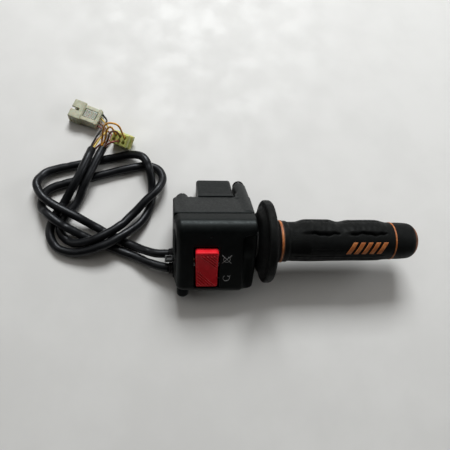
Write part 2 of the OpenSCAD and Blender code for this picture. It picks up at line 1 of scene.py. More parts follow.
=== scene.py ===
import math

import bpy
import numpy as np
from mathutils import Matrix


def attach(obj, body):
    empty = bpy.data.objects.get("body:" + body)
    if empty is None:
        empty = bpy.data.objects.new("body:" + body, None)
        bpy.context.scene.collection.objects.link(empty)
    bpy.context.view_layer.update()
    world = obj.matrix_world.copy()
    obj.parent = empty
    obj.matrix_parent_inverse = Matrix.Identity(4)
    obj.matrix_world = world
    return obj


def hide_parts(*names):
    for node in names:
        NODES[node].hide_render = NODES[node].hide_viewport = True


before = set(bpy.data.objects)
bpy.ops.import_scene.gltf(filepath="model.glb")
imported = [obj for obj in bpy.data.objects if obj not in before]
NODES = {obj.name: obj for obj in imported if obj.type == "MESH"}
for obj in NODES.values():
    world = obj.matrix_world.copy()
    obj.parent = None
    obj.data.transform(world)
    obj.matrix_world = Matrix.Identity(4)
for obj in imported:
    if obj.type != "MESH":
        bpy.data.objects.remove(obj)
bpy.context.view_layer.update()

# Twist throttle with its switch housing and leads. Everything is drawn in millimetres and turned
# into metres as each mesh is made. Most shapes use the control's own directions: x along the bar,
# t up on the motorcycle and r towards the rider, with the bar's axis at t = r = 0.
MM = 0.001
BENCH = -32.6
HALF = math.sqrt(0.5)

# ---------------------------------------------------------------- camera

# It looks along the line to AIM from ELEVATION above the bench, turned by TURN, and stands RISE
# to the upper side of that line.
ELEVATION, TURN = math.radians(73), math.radians(7.5)
DISTANCE, RISE = 0.38, 0.0128484
AIM = np.array((0.04, 0, 0))
away = np.array((-math.sin(TURN), -math.cos(TURN) * math.cos(ELEVATION),
                 math.cos(TURN) * math.sin(ELEVATION)))
right = np.array((1, 0, 0)) - away[0] * away
right /= np.linalg.norm(right)
top = np.cross(away, right)
lens = bpy.data.cameras.new("camera")
lens.sensor_width = 36
lens.lens = 39.04
lens.clip_start = 0.01
camera = bpy.data.objects.new("camera", lens)
bpy.context.scene.collection.objects.link(camera)
bpy.context.scene.camera = camera
stand = AIM + RISE * top + DISTANCE * away
camera.matrix_world = Matrix([[right[i], top[i], away[i], stand[i]] for i in range(3)]
                             + [[0, 0, 0, 1]])


# ---------------------------------------------------------------- materials

class Shader:
    """A node material on the Principled shader, built a few nodes at a time."""

    def __init__(self, name):
        self.material = bpy.data.materials.new(name)
        self.material.use_nodes = True
        self.tree = self.material.node_tree
        self.main = self.tree.nodes["Principled BSDF"]
        self.place = self.tree.nodes.new("ShaderNodeTexCoord").outputs["Object"]

    def link(self, source, target):
        self.tree.links.new(source, target)

    def put(self, socket, value):
        if hasattr(value, "is_linked"):
            self.link(value, socket)
        else:
            socket.default_value = value

    def noise(self, scale, detail=3, rough=0.5):
        node = self.tree.nodes.new("ShaderNodeTexNoise")
        node.inputs["Scale"].default_value = scale
        node.inputs["Detail"].default_value = detail
        node.inputs["Roughness"].default_value = rough
        self.link(self.place, node.inputs["Vector"])
        return node.outputs["Fac"]

    def span(self, value, a, b, to_a=0, to_b=1):
        node = self.tree.nodes.new("ShaderNodeMapRange")
        node.interpolation_type = "SMOOTHSTEP"
        for name, number in (("From Min", a), ("From Max", b), ("To Min", to_a), ("To Max", to_b)):
            node.inputs[name].default_value = number
        self.link(value, node.inputs["Value"])
        return node.outputs["Result"]

    def math(self, kind, a, b=0.0):
        node = self.tree.nodes.new("ShaderNodeMath")
        node.operation = kind
        self.put(node.inputs[0], a)
        self.put(node.inputs[1], b)
        return node.outputs[0]

    def mix(self, factor, a, b):
        node = self.tree.nodes.new("ShaderNodeMix")
        node.data_type = "RGBA"
        self.put(node.inputs["Factor"], factor)
        for socket, value in (("A", a), ("B", b)):
            target = [i for i in node.inputs if i.name == socket and i.type == "RGBA"][0]
            self.put(target, (*value, 1) if isinstance(value, tuple) else value)
        return [o for o in node.outputs if o.type == "RGBA"][0]

    def axis(self, name):
        node = self.tree.nodes.new("ShaderNodeSeparateXYZ")
        self.link(self.place, node.inputs[0])
        return node.outputs[name]

    def edges(self, low=0.52, high=0.6):
        node = self.tree.nodes.new("ShaderNodeNewGeometry")
        return self.span(node.outputs["Pointiness"], low, high)

    def bump(self, height, strength, distance):
        node = self.tree.nodes.new("ShaderNodeBump")
        node.inputs["Strength"].default_value = strength
        node.inputs["Distance"].default_value = distance
        self.link(height, node.inputs["Height"])
        self.link(node.outputs["Normal"], self.main.inputs["Normal"])


def finish_of(name, dark, light, rough=(0.4, 0.55), patch=180, grain=3000, depth=0.00006,
              strength=0.5, worn=None, **sockets):
    """A mottled surface with a fine grain; worn is the paler colour that its edges rub to."""
    s = Shader(name)
    blotch = s.noise(patch, 4, 0.6)
    colour = s.mix(s.span(blotch, 0.35, 0.65), dark, light)
    if worn:
        rub = s.math("MULTIPLY", s.edges(), s.span(s.noise(patch * 5), 0.4, 0.6, 0.4, 1))
        colour = s.mix(rub, colour, worn)
    s.link(colour, s.main.inputs["Base Color"])
    s.link(s.span(s.noise(patch * 3), 0.3, 0.7, *rough), s.main.inputs["Roughness"])
    s.bump(s.noise(grain, 2), strength, depth)
    for key, value in sockets.items():
        s.main.inputs[key.replace("_", " ")].default_value = value
    return s


def grip_finish():
    """Black rubber, paler grey in patches on its ridges and edges, and rubbed to a brown edge at
    the free end.
    """
    s = Shader("grip rubber")
    colour = s.mix(s.span(s.noise(90, 5, 0.65), 0.35, 0.7), (0.0028, 0.003, 0.003),
                   (0.0055, 0.006, 0.006))
    # paler grey in patches where the surface is convex
    paler_ridges = s.math("MULTIPLY", s.edges(0.5, 0.62), s.span(s.noise(500), 0.35, 0.65, 0.2, 1))
    colour = s.mix(paler_ridges, colour, (0.017, 0.0178, 0.0175))
    x = s.axis("X")
    rub = s.math("MULTIPLY", s.span(x, 0.1905, 0.193), s.span(x, 0.1938, 0.1955, 1, 0))
    rub = s.math("MULTIPLY", rub, s.span(s.noise(140, 4), 0.36, 0.55, 0.4, 1))
    colour = s.mix(rub, colour, (0.3, 0.115, 0.055))
    s.link(colour, s.main.inputs["Base Color"])
    s.link(s.span(s.noise(260), 0.3, 0.7, 0.5, 0.68), s.main.inputs["Roughness"])
    s.bump(s.noise(2200, 3), 0.5, 0.00008)
    s.main.inputs["Specular IOR Level"].default_value = 0.2
    s.main.inputs["Specular Tint"].default_value = (0.35, 0.36, 0.35, 1)
    return s


def ring_finish(bright=None):
    """Orange rubber, worn in places; bright is the lit stretch along the bar, painted shade beyond
    it.
    """
    s = Shader("orange rubber")
    colour = s.mix(s.span(s.noise(240, 4), 0.4, 0.65), (0.36, 0.1, 0.022), (0.52, 0.18, 0.05))
    colour = s.mix(s.span(s.noise(900, 2), 0.55, 0.7, 0, 0.6), colour, (0.25, 0.09, 0.04))
    if bright:
        x = s.axis("X")
        # painted shade: the ring is darker at both sides, where it sits between the grip's walls
        unshaded_middle = s.math("MULTIPLY", s.span(x, bright[0] - 0.0002, bright[0] + 0.0002),
                       s.span(x, bright[1] - 0.0002, bright[1] + 0.0002, 1, 0))
        colour = s.mix(unshaded_middle, (0.06, 0.024, 0.012), colour)
    s.link(colour, s.main.inputs["Base Color"])
    s.link(s.span(s.noise(400), 0.3, 0.7, 0.4, 0.6), s.main.inputs["Roughness"])
    s.bump(s.noise(2600, 2), 0.4, 0.00006)
    return s


HOUSING = finish_of("housing plastic", (0.003, 0.0036, 0.0036), (0.005, 0.0058, 0.0058),
                    (0.36, 0.48), grain=3400, depth=0.00006, worn=(0.024, 0.027, 0.027),
                    IOR=1.27, Specular_Tint=(0.8, 0.9, 0.9, 1))
SOFT = finish_of("soft rubber", (0.0035, 0.0035, 0.0038), (0.007, 0.007, 0.0074), (0.5, 0.65),
                 Specular_IOR_Level=0.15)
SLEEVE = finish_of("sleeve vinyl", (0.004, 0.0042, 0.005), (0.007, 0.0074, 0.0084), (0.3, 0.44),
                   patch=120, grain=1500, depth=0.00012, strength=0.35,
                   Specular_IOR_Level=0.4, Specular_Tint=(0.55, 0.57, 0.6, 1))
RED = finish_of("red plastic", (0.6, 0.01, 0.018), (0.72, 0.017, 0.028), (0.34, 0.46), grain=4200,
                depth=0.00004, worn=(0.85, 0.2, 0.2), Specular_IOR_Level=0.12)
CLIP = finish_of("clip plastic", (0.03, 0.032, 0.033), (0.05, 0.052, 0.053), (0.4, 0.55))
STEEL = finish_of("screw steel", (0.3, 0.3, 0.3), (0.46, 0.46, 0.45), (0.25, 0.45), Metallic=1.0)
DARK_STEEL = finish_of("blackened steel", (0.045, 0.045, 0.046), (0.1, 0.1, 0.1), (0.25, 0.42),
                       Metallic=0.8, worn=(0.3, 0.3, 0.3))
BRASS = finish_of("brass", (0.5, 0.36, 0.14), (0.68, 0.5, 0.22), (0.2, 0.4), Metallic=1.0)
SPRING = finish_of("spring steel", (0.4, 0.4, 0.41), (0.6, 0.6, 0.6), (0.2, 0.35), Metallic=1.0)
TIN = finish_of("tinned blades", (0.5, 0.5, 0.48), (0.66, 0.66, 0.64), (0.25, 0.4), Metallic=1.0)
INNER = finish_of("inner plastic", (0.05, 0.05, 0.05), (0.08, 0.08, 0.08))
GEAR = finish_of("gear plastic", (0.5, 0.48, 0.4), (0.62, 0.6, 0.52))
BOARD = finish_of("circuit board", (0.01, 0.09, 0.04), (0.02, 0.14, 0.06), (0.3, 0.45))
LAMINATE = finish_of("laminate", (0.2, 0.11, 0.05), (0.3, 0.17, 0.08), (0.5, 0.7))
WHITE = finish_of("white nylon", (0.3, 0.3, 0.2), (0.42, 0.42, 0.3), (0.35, 0.5), grain=2600,
                  Subsurface_Weight=0.25, Subsurface_Scale=0.002)
GREEN = finish_of("green nylon", (0.4, 0.42, 0.1), (0.52, 0.53, 0.16), (0.35, 0.5), grain=2600,
                  Subsurface_Weight=0.25, Subsurface_Scale=0.002)
LOCK = finish_of("lock nylon", (0.26, 0.27, 0.22), (0.34, 0.35, 0.29), (0.25, 0.4),
                 Subsurface_Weight=0.3, Subsurface_Scale=0.002)
MARK = finish_of("white mark", (0.24, 0.245, 0.245), (0.4, 0.41, 0.41), (0.4, 0.5))
BLACK_WIRE = finish_of("black wire", (0.02, 0.02, 0.022), (0.035, 0.034, 0.036), (0.3, 0.45))
YELLOW_WIRE = finish_of("yellow wire", (0.6, 0.42, 0.07), (0.7, 0.52, 0.12), (0.3, 0.45))
BROWN_WIRE = finish_of("brown wire", (0.16, 0.07, 0.03), (0.24, 0.11, 0.05), (0.3, 0.45))
RED_WIRE = finish_of("red-brown wire", (0.2, 0.045, 0.035), (0.3, 0.08, 0.06), (0.3, 0.45))
AMBER_WIRE = finish_of("amber wire", (0.62, 0.27, 0.02), (0.74, 0.36, 0.04), (0.3, 0.45))
GRIP = grip_finish()
ORANGE = ring_finish()
# hub band, with painted shade at both sides next to the grip
BANDED = ring_finish((0.0818, 0.0833))


# ---------------------------------------------------------------- meshes

def lie(p):
    """From the control's directions to the row frame, in which the control lies tipped back."""
    x, t, r = np.moveaxis(np.asarray(p, float), -1, 0)
    return np.stack([x, (t - r) * HALF, (t + r) * HALF], -1)


def make(name, points, faces, shader, body="housing", replaced=()):
    """A smooth-shaded mesh of points in row-frame millimetres, riding on a body."""
    data = bpy.data.meshes.new(name)
    data.from_pydata((np.asarray(points) * MM).tolist(), [], [list(f) for f in faces])
    data.polygons.foreach_set("use_smooth", [True] * len(data.polygons))
    data.materials.append(shader.material)
    obj = bpy.data.objects.new(name, data)
    bpy.context.scene.collection.objects.link(obj)
    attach(obj, body)
    if replaced:
        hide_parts(*replaced)
    return obj


def rmax(a, b, r=0.0):
    """Where two solids meet, with an edge of radius r."""
    return np.minimum(np.maximum(a, b), -r) + np.hypot(np.maximum(a + r, 0), np.maximum(b + r, 0))


def rmin(a, b, r=0.0):
    """Two solids joined, with a fillet of radius r."""
    return -rmax(-a, -b, r)


def block(x, t, r, lo, hi, edge):
    """Box between two corners, with all its edges of one radius."""
    q = [abs(v - (a + b) / 2) - (b - a) / 2 + edge for v, a, b in zip((x, t, r), lo, hi)]
    inside = np.minimum(np.maximum(np.maximum(q[0], q[1]), q[2]), 0)
    out = np.sqrt(np.maximum(q[0], 0) ** 2 + np.maximum(q[1], 0) ** 2 + np.maximum(q[2], 0) ** 2)
    return inside + out - edge


def rod(u, v, w, radius, start, end, edge):
    """Cylinder whose axis is w, from start to end; u and v are measured from the axis."""
    return rmax(np.hypot(u, v) - radius, rmax(start - w, w - end), edge)


def smoothstep(v, a, b):
    s = np.clip((v - a) / (b - a), 0, 1)
    return s * s * (3 - 2 * s)


def nets(shape, lo, hi, step):
    """Points and quads of the surface where shape(x, t, r) is zero, from one point per cell."""
    axes = [np.arange(a, b + step, step) for a, b in zip(lo, hi)]
    grid = np.ix_(*axes)
    value = np.broadcast_to(shape(*grid), [len(a) for a in axes]).astype(float)
    within = value < 0
    corners = [(i, j, k) for i in (0, 1) for j in (0, 1) for k in (0, 1)]
    count = sum(within[i:len(axes[0]) - 1 + i, j:len(axes[1]) - 1 + j, k:len(axes[2]) - 1 + k]
                .astype(np.int8) for i, j, k in corners)
    active = (count > 0) & (count < 8)
    cells = np.argwhere(active)
    index = np.full(active.shape, -1)
    index[active] = np.arange(len(cells))
    total = np.zeros((len(cells), 3))
    hits = np.zeros(len(cells))
    for a in corners:
        for axis in range(3):
            if a[axis]:
                continue
            b = np.array(a)
            b[axis] = 1
            va = value[tuple((cells + a).T)]
            vb = value[tuple((cells + b).T)]
            cross = (va < 0) != (vb < 0)
            share = np.where(cross, va / np.where(cross, va - vb, 1), 0)
            spot = np.array(a, float) + share[:, None] * (b - np.array(a))
            total += np.where(cross[:, None], spot, 0)
            hits += cross
    points = np.array(lo, float) + step * (cells + total / hits[:, None])
    for _ in range(3):
        here = shape(*points.T)
        slope = np.stack([(shape(*(points + d).T) - shape(*(points - d).T)) / 0.08
                          for d in np.eye(3) * 0.04], -1)
        steep = np.maximum((slope ** 2).sum(-1), 0.2)
        move = -(here / steep)[:, None] * slope
        size = np.linalg.norm(move, axis=-1, keepdims=True)
        points = points + move * np.minimum(1, 0.5 * step / np.maximum(size, 1e-9))
    quads = []
    for axis in range(3):
        u, v = (axis + 1) % 3, (axis + 2) % 3
        lower = np.moveaxis(within, axis, 0)[:-1]
        upper = np.moveaxis(within, axis, 0)[1:]
        edge = np.argwhere(np.moveaxis(lower != upper, 0, axis))
        edge = edge[(edge[:, u] > 0) & (edge[:, v] > 0) & (edge[:, u] < active.shape[u])
                    & (edge[:, v] < active.shape[v])]
        du, dv = np.eye(3, dtype=int)[u], np.eye(3, dtype=int)[v]
        ring = np.stack([index[tuple((edge - s).T)] for s in (du + dv, dv, 0 * du, du)], -1)
        flip = within[tuple(edge.T)]
        quads.append(np.where(flip[:, None], ring, ring[:, ::-1]))
    return points, np.vstack(quads)


def carve(name, shape, lo, hi, step, shader, body="housing", replaced=(), place=lie):
    points, quads = nets(shape, lo, hi, step)
    return make(name, place(points), quads, shader, body, replaced)


def rounded(corners, step=0.35):
    """Line through (x, r, radius) corners, each rounded by its radius and cut into short steps."""
    pts = [np.array(c[:2], float) for c in corners]
    out = [pts[0]]
    for i in range(1, len(pts) - 1):
        a, b, c = pts[i - 1], pts[i], pts[i + 1]
        radius = corners[i][2]
        back, on = (a - b) / np.linalg.norm(a - b), (c - b) / np.linalg.norm(c - b)
        reach = min(radius, 0.49 * np.linalg.norm(a - b), 0.49 * np.linalg.norm(c - b))
        n = max(2, int(1.6 * reach / step))
        for s in np.linspace(0, 1, n + 1):
            out.append((1 - s) ** 2 * (b + reach * back) + 2 * s * (1 - s) * b
                       + s * s * (b + reach * on))
    out.append(pts[-1])
    line = [out[0]]
    for p in out[1:]:
        gap = np.linalg.norm(p - line[-1])
        if gap < 1e-6:
            continue
        n = max(1, int(round(gap / step)))
        line += [line[-1] + (p - line[-1]) * k / n for k in range(1, n + 1)]
    return np.array(line)


def turned(line, sides, swell=None):
    """Points and faces of a line of (x, r) points turned round the bar's direction.

    swell(x, r, angle) is what is added to the radius, with the angle in degrees from the rider's
    side towards the top.
    """
    angle = np.linspace(0, 360, sides, endpoint=False)
    x = np.repeat(line[:, :1], sides, 1)
    r = np.repeat(line[:, 1:], sides, 1)
    a = np.broadcast_to(angle, r.shape)
    if swell:
        r = r + swell(x, r, a)
    a = np.radians(a)
    points = np.stack([x, r * np.sin(a), r * np.cos(a)], -1)
    return points.reshape(-1, 3), strips(len(line), sides)


def strips(rings, sides):
    """Quads between rings, and a cap at each end."""
    i = np.arange((rings - 1) * sides).reshape(rings - 1, sides)
    j = np.roll(i, -1, 1)
    quads = np.stack([i, i + sides, j + sides, j], -1).reshape(-1, 4).tolist()
    return quads + [list(range(sides)), list(range(rings * sides - 1, (rings - 1) * sides - 1, -1))]


def smooth(points, step=1.0):
    """Smooth line through points, with a point about every step millimetres."""
    p = np.array(points, float)
    p = np.vstack([2 * p[0] - p[1], p, 2 * p[-1] - p[-2]])
    line = []
    for a, b, c, d in zip(p, p[1:], p[2:], p[3:]):
        n = max(2, int(np.linalg.norm(c - b) / step))
        for s in np.arange(n) / n:
            line.append(0.5 * (2 * b + (c - a) * s + (2 * a - 5 * b + 4 * c - d) * s * s
                               + (3 * b - a - 3 * c + d) * s ** 3))
    return np.array(line + [p[-2]])


def swept(line, radius, sides=16, up=(0, 0, 1)):
    """Points and faces of a tube along a line; radius is a number or radius(along, angle)."""
    heading = np.gradient(line, axis=0)
    heading /= np.linalg.norm(heading, axis=1, keepdims=True)
    side = np.cross(heading[0], up)
    along = np.concatenate([[0], np.cumsum(np.linalg.norm(np.diff(line, axis=0), axis=1))])
    angle = np.linspace(0, 2 * math.pi, sides, endpoint=False)
    points = []
    for p, h, s in zip(line, heading, along):
        side = side - h * np.dot(side, h)
        side /= np.linalg.norm(side)
        rise = np.cross(side, h)
        r = radius(s, angle) if callable(radius) else np.full(sides, radius)
        points.append(p + r[:, None] * (np.cos(angle)[:, None] * side
                                        + np.sin(angle)[:, None] * rise))
    return np.vstack(points), [f[::-1] for f in strips(len(line), sides)]


# ---------------------------------------------------------------- leads

# points that the two sleeves run through, and that their wires pass on the way to the plugs
SWITCH_ROUTE = [
    (-3, -5, -18.5), (-16, -3.5, -20.5), (-32, 4, -27), (-47, 12, -29.1), (-62, 20, -28),
    (-78, 28, -22), (-95, 37, -21.6), (-105, 45, -21.2), (-110, 56, -23), (-106, 66, -27.5),
    (-96, 71.5, -29.1), (-74, 77, -29.1), (-52, 82, -29.1), (-36, 85, -27), (-24.5, 80.5, -22),
    (-19, 69, -22), (-17, 54, -28.5), (-18.5, 39, -29.1), (-26, 24, -27), (-40, 11.5, -21.6),
    (-57, 2, -21.4), (-76, -1.5, -27), (-91, 2.5, -29.1), (-98, 13, -29.1), (-97, 26, -29.1),
    (-89, 41, -29.1), (-77.6, 58, -18.6), (-70.3, 76, -17.7), (-67.5, 87, -22),
]
SENSOR_ROUTE = [
    (-3, -16, -21), (-16, -12, -24), (-32, -4, -28.5), (-48, 2.5, -29.1), (-64, 9, -29.1),
    (-77, 15, -25.5), (-89, 21, -21.8), (-99, 29, -21.8), (-106, 38, -27.8), (-104, 50, -29.1),
    (-93, 57, -29.1), (-68, 64, -29.1), (-46, 70.5, -29.1), (-32, 74, -29.1), (-21, 75.5, -29.1),
    (-11.5, 71.5, -28), (-8, 62, -25), (-12, 51.5, -21.4), (-22, 41, -21.4), (-33, 29.5, -24),
    (-45, 17.5, -21.6), (-62, 8, -21), (-75, 6, -25), (-84, 9, -29.1), (-90.5, 18, -29.1),
    (-87, 29.5, -29.1), (-78, 42, -28.2), (-71, 58, -22), (-62.7, 78, -21.6),
    (-58.5, 89, -23.5),
]
SWITCH_MIDS = [
    [(-63, 98, -18.6), (-57.5, 107, -18.8), (-56, 115, -23)],
    [(-61, 97, -21.6), (-55.4, 105, -22.4), (-55.5, 111.5, -26)],
    [(-64.5, 96, -24), (-59, 103, -25.6), (-57.5, 109.4, -26.5)],
    [(-61, 94, -26.6), (-53.5, 100, -29.4), (-53, 106.5, -30.4)],
]
SENSOR_MIDS = [
    [(-56, 95.8, -18.5), (-54.2, 99.8, -10.5), (-50, 99.2, -5.4)],
    [(-54, 94.2, -18), (-51.2, 96, -8.6), (-45.8, 94.6, -4)],
    [(-59, 96, -20.5), (-55.2, 102.4, -7), (-44.5, 98, 1)],
    [(-55, 90, -23.5), (-54.6, 88, -15.5), (-48.8, 86.8, -7)],
]
# column and row of each wire in the sensor's plug
SENSOR_HOLES = [(-1, 0.5), (0, 0.5), (1, 0.5), (0, -0.5)]
SLEEVE_D = 7
WIRE_D = 1.6
PIN_PITCH = 4
ROW_PITCH = 4.2
SWITCH_PLUG = Matrix.Translation((-74, 122, -27.1)) @ Matrix.Rotation(math.radians(-22), 4, "Z")
SENSOR_PLUG = (Matrix.Translation((-42.6, 96.6, -21.8))
               @ Matrix.Rotation(math.radians(-23), 4, "Z")
               @ Matrix.Rotation(math.radians(25), 4, "X"))
SWITCH_SIZE = (26, 17.6, 11)
SENSOR_SIZE = (18, 16, 12)


def sleeve_radius(seed):
    """Thin vinyl sleeve: it flattens here and there, and has a crease every few centimetres."""
    rng = np.random.default_rng(seed)
    creases = [(s + rng.uniform(-8, 8), rng.uniform(0, 6.28), rng.uniform(0.08, 0.16))
               for s in np.arange(22, 440, 19)]

    def radius(s, angle):
        r = 1 + 0.035 * math.sin(s / 17 + seed) * np.cos(2 * (angle - s / 40))
        r = r + 0.012 * np.sin(s / 2.6 + 2 * np.cos(angle - s / 60))
        for at, way, deep in creases:
            if abs(s - at) < 8:
                r = r - deep * math.exp(-((s - at) / 2.2) ** 2) * np.maximum(
                    0, np.cos(angle - way)) ** 2
        return SLEEVE_D / 2 * r
    return radius


def sleeve(name, route, seed, node):
    """Sleeve along its route, open at its far end."""
    line = smooth(route, 0.8)
    line[:, 2] = np.maximum(line[:, 2], BENCH + SLEEVE_D / 2)
    sides = 28
    points = swept(line, sleeve_radius(seed), sides)[0]
    points[:, 2] = np.maximum(points[:, 2], BENCH)
    points = points.reshape(-1, sides, 3)
    inner = [line[-1 - k] + (points[-1 - k] - line[-1 - k]) * f
             for k, f in ((0, 0.93), (0, 0.82), (1, 0.78), (4, 0.76), (9, 0.7))]
    points = np.concatenate([points, inner]).reshape(-1, 3)
    faces = [f[::-1] for f in strips(len(points) // sides, sides)]
    obj = make(name, points, faces, SLEEVE, replaced=[node])
    return obj, line


def wire_start(route, i):
    """Where wire i leaves the sleeve: the four stand in a square, high ones first."""
    end, before = np.array(route[-1], float), np.array(route[-2], float)
    way = (end - before) / np.linalg.norm(end - before)
    side = np.cross(way, (0, 0, 1))
    side /= np.linalg.norm(side)
    rise = np.cross(side, way)
    return end + 1.2 * ((-1 if i % 2 == 0 else 1) * side + (1 if i < 2 else -1) * rise)


def wire_line(route, mids, i, end):
    return smooth([wire_start(route, i), *mids[i], end], 0.6)


for lead, (y, z) in (("switch", (-5, -18.5)), ("sensor", (-16, -21))):
    line = rounded([(3, 2.6, 0), (3, 3.8, 0.2), (0.05, 3.8, 0.1), (0, 4.8, 0.4), (-1.2, 4.7, 0.4),
                    (-1.4, 4.2, 0.2), (-2.2, 4.5, 0.3), (-3.3, 4.1, 0.5), (-3.4, 3.3, 0.2),
                    (-2.6, 3.1, 0.2), (3, 2.6, 0)], 0.2)
    points, faces = turned(line, 56)
    make(f"{lead}_boot", points + (0, y, z), faces[:-2], SOFT,
                       replaced=[f"{lead}_gland"])

leads = {}
for lead, route, mids, seed in (("switch", SWITCH_ROUTE, SWITCH_MIDS, 3),
                                ("sensor", SENSOR_ROUTE, SENSOR_MIDS, 8)):
    tube, line = sleeve(f"{lead}_sleeve", route, seed, f"{lead}_sheath")
    leads[lead] = []
    for i in range(4):
        if lead == "switch":
            end = SWITCH_PLUG @ Matrix.Translation((13, (1.5 - i) * PIN_PITCH, 0))
        else:
            column, row = SENSOR_HOLES[i]
            end = SENSOR_PLUG @ Matrix.Translation((column * PIN_PITCH, row * ROW_PITCH, 9))
        line = wire_line(route, mids, i, np.array(end.translation))
        shader, slot = {
            "switch": [(BLACK_WIRE, "wire_black"), (YELLOW_WIRE, "wire_yellow"),
                       (BROWN_WIRE, "wire_brown"), (RED_WIRE, "wire_red")],
            "sensor": [(AMBER_WIRE, "wire_amber"), (BROWN_WIRE, "wire_brown"),
                       (AMBER_WIRE, "wire_amber"), (RED_WIRE, "wire_red")]}[lead][i]
        points, faces = swept(line, WIRE_D / 2, 14, (1, 0, 0.3) if lead == "sensor" else (0, 0, 1))
        wire = make(f"{lead}_lead_wire_{i + 1}", points, faces, shader,
                    replaced=[f"{lead}_wire_{i + 1}"])
        leads[lead].append((wire, line))


# ---------------------------------------------------------------- connectors

def shell(size, rows, columns):
    """Connector shell along u, with the mating cavity at its low end and the wires at its high."""
    l, w, h = size

    def shape(u, v, z):
        f = rmin(block(u, v, z, (-l / 2, -w / 2, -h / 2), (-0.08 * l, w / 2, h / 2), 1.0),
                 block(u, v, z, (-l / 2 + 1, -w / 2 + 1.3, -h / 2 + 0.7),
                       (l / 2, w / 2 - 1.3, h / 2 - 0.7), 0.7), 0.5)
        # ribs round the wire end, and grip ribs on the wide end's sides
        f = rmin(f, block(u, v, z, (l / 2 - 2.6, -w / 2 + 0.8, -h / 2 + 0.3),
                          (l / 2 - 1.2, w / 2 - 0.8, h / 2 - 0.3), 0.4), 0.3)
        for at in (-0.4, -0.28, -0.16):
            groove = block(u, abs(v), z, (at * l - 0.55, w / 2 - 0.7, -h / 2 + 2.2),
                           (at * l + 0.55, w / 2 + 3, h / 2 - 2.2), 0.3)
            f = rmax(f, -groove, 0.2)
        cavity = block(u, v, z, (-l, -w / 2 + 2.6, -h / 2 + 2), (9 - l / 2, w / 2 - 2.6, h / 2 - 2),
                       0.6)
        f = rmax(f, -cavity, 0.3)
        f = rmax(f, -block(u, v, z, (-l, -1.2, h / 2 - 2.5), (7 - l / 2, 1.2, h), 0.3), 0.2)
        f = rmax(f, -block(u, v, z, (-1.5, -4, h / 2 - 2.2), (l / 2 - 3, 4, h), 0.3), 0.3)
        for i in range(columns):
            for j in range(rows):
                y, q = (i - (columns - 1) / 2) * PIN_PITCH, (j - (rows - 1) / 2) * ROW_PITCH
                f = rmax(f, -rod(v - y, z - q, u, 1.35, l / 2 - 2, l, 0), 0.25)
        return f
    return shape


def placed(matrix):
    m = np.array(matrix)
    return lambda p: p @ m[:3, :3].T + m[:3, 3]


UPRIGHT = Matrix.Rotation(math.radians(-90), 4, "Z") @ Matrix.Rotation(math.radians(-90), 4, "Y")
for lead, place, size, rows, columns, shader, slot in (
        ("switch", SWITCH_PLUG, SWITCH_SIZE, 1, 4, WHITE, "nylon_white"),
        ("sensor", SENSOR_PLUG @ UPRIGHT, SENSOR_SIZE, 2, 3, GREEN, "nylon_green")):
    l, w, h = size
    reach = [s / 2 + 0.8 for s in size]
    plug = carve(f"{lead}_connector", shell(size, rows, columns), [-s for s in reach], reach, 0.25,
                 shader, replaced=[f"{lead}_plug"], place=placed(place))

    def lock(u, v, z, l=l, h=h):
        f = block(u, v, z, (-1.2, -3.8, h / 2 - 2.2), (l / 2 - 3.3, 3.8, h / 2 - 0.9), 0.35)
        ribs = 0.25 * np.cos(u * 2 * math.pi / 1.8) * smoothstep(3 - abs(v), 0, 0.6)
        return f - np.where(z > h / 2 - 1.4, ribs, 0) * 0.8
    clip = carve(f"{lead}_connector_lock", lock, (-2, -4.6, h / 2 - 3), (l / 2 - 2, 4.6, h / 2),
                 0.2, LOCK, replaced=[f"{lead}_plug_lock"], place=placed(place))


# ---------------------------------------------------------------- housing

TOP, BOTTOM, FRONT, REAR = 25, -34.6, -32.2, 18
REST = -BENCH / HALF
SPLIT = (-1.15, 0.85)
BAR_R, ROOM_R, BUSH_R = 11.1, 15.45, 13.7
# screws: x, t, the seat's r and the head's radius; far bosses: x, t, the end's r and the radius
SCREWS = [(7.7, 18.9, -37.9, 4.4), (56.9, 20.9, -58.4, 5), (9, -19, -20, 3.4),
          (7.5, -39.2, -1.9, 3.2)]
BOSSES = [(7.6, 18.9, -36.8, 5.5), (57.2, 19.2, -56.8, 6.1)]
# sensor box: both sides in x, its top in t and its reach in r
COVER = (20.3, 49.5, 26.5, -59.7)
PIVOT_T, PIVOT_R, TILT = -12.8, 12, math.radians(7)


def bench(t, r):
    """How far a point is below the bench that the control lies on."""
    return (-(t + r) - REST) * HALF


def bore(x, t, r):
    """Room for the bar, for the tube and its gear, and for the bush where the tube comes out."""
    way = rmin(rod(t, r, x, BAR_R, -9, 20, 0), rod(t, r, x, ROOM_R, 14, 51, 0))
    return rmin(way, rod(t, r, x, BUSH_R, 50, 70, 0))


def lug(x, t):
    """Outline of the lower screw lug."""
    side = rmax(abs(x - 7.5) - 4.7, rmax(-39.4 - t, t + 30))
    return rmin(np.hypot(x - 7.5, t + 39.4) - 4.7, side)


def right_wall(x, r):
    """The wall beside the grip, which leans out a little towards the front."""
    return x - 61.5 + 0.042 * np.minimum(r, 0)


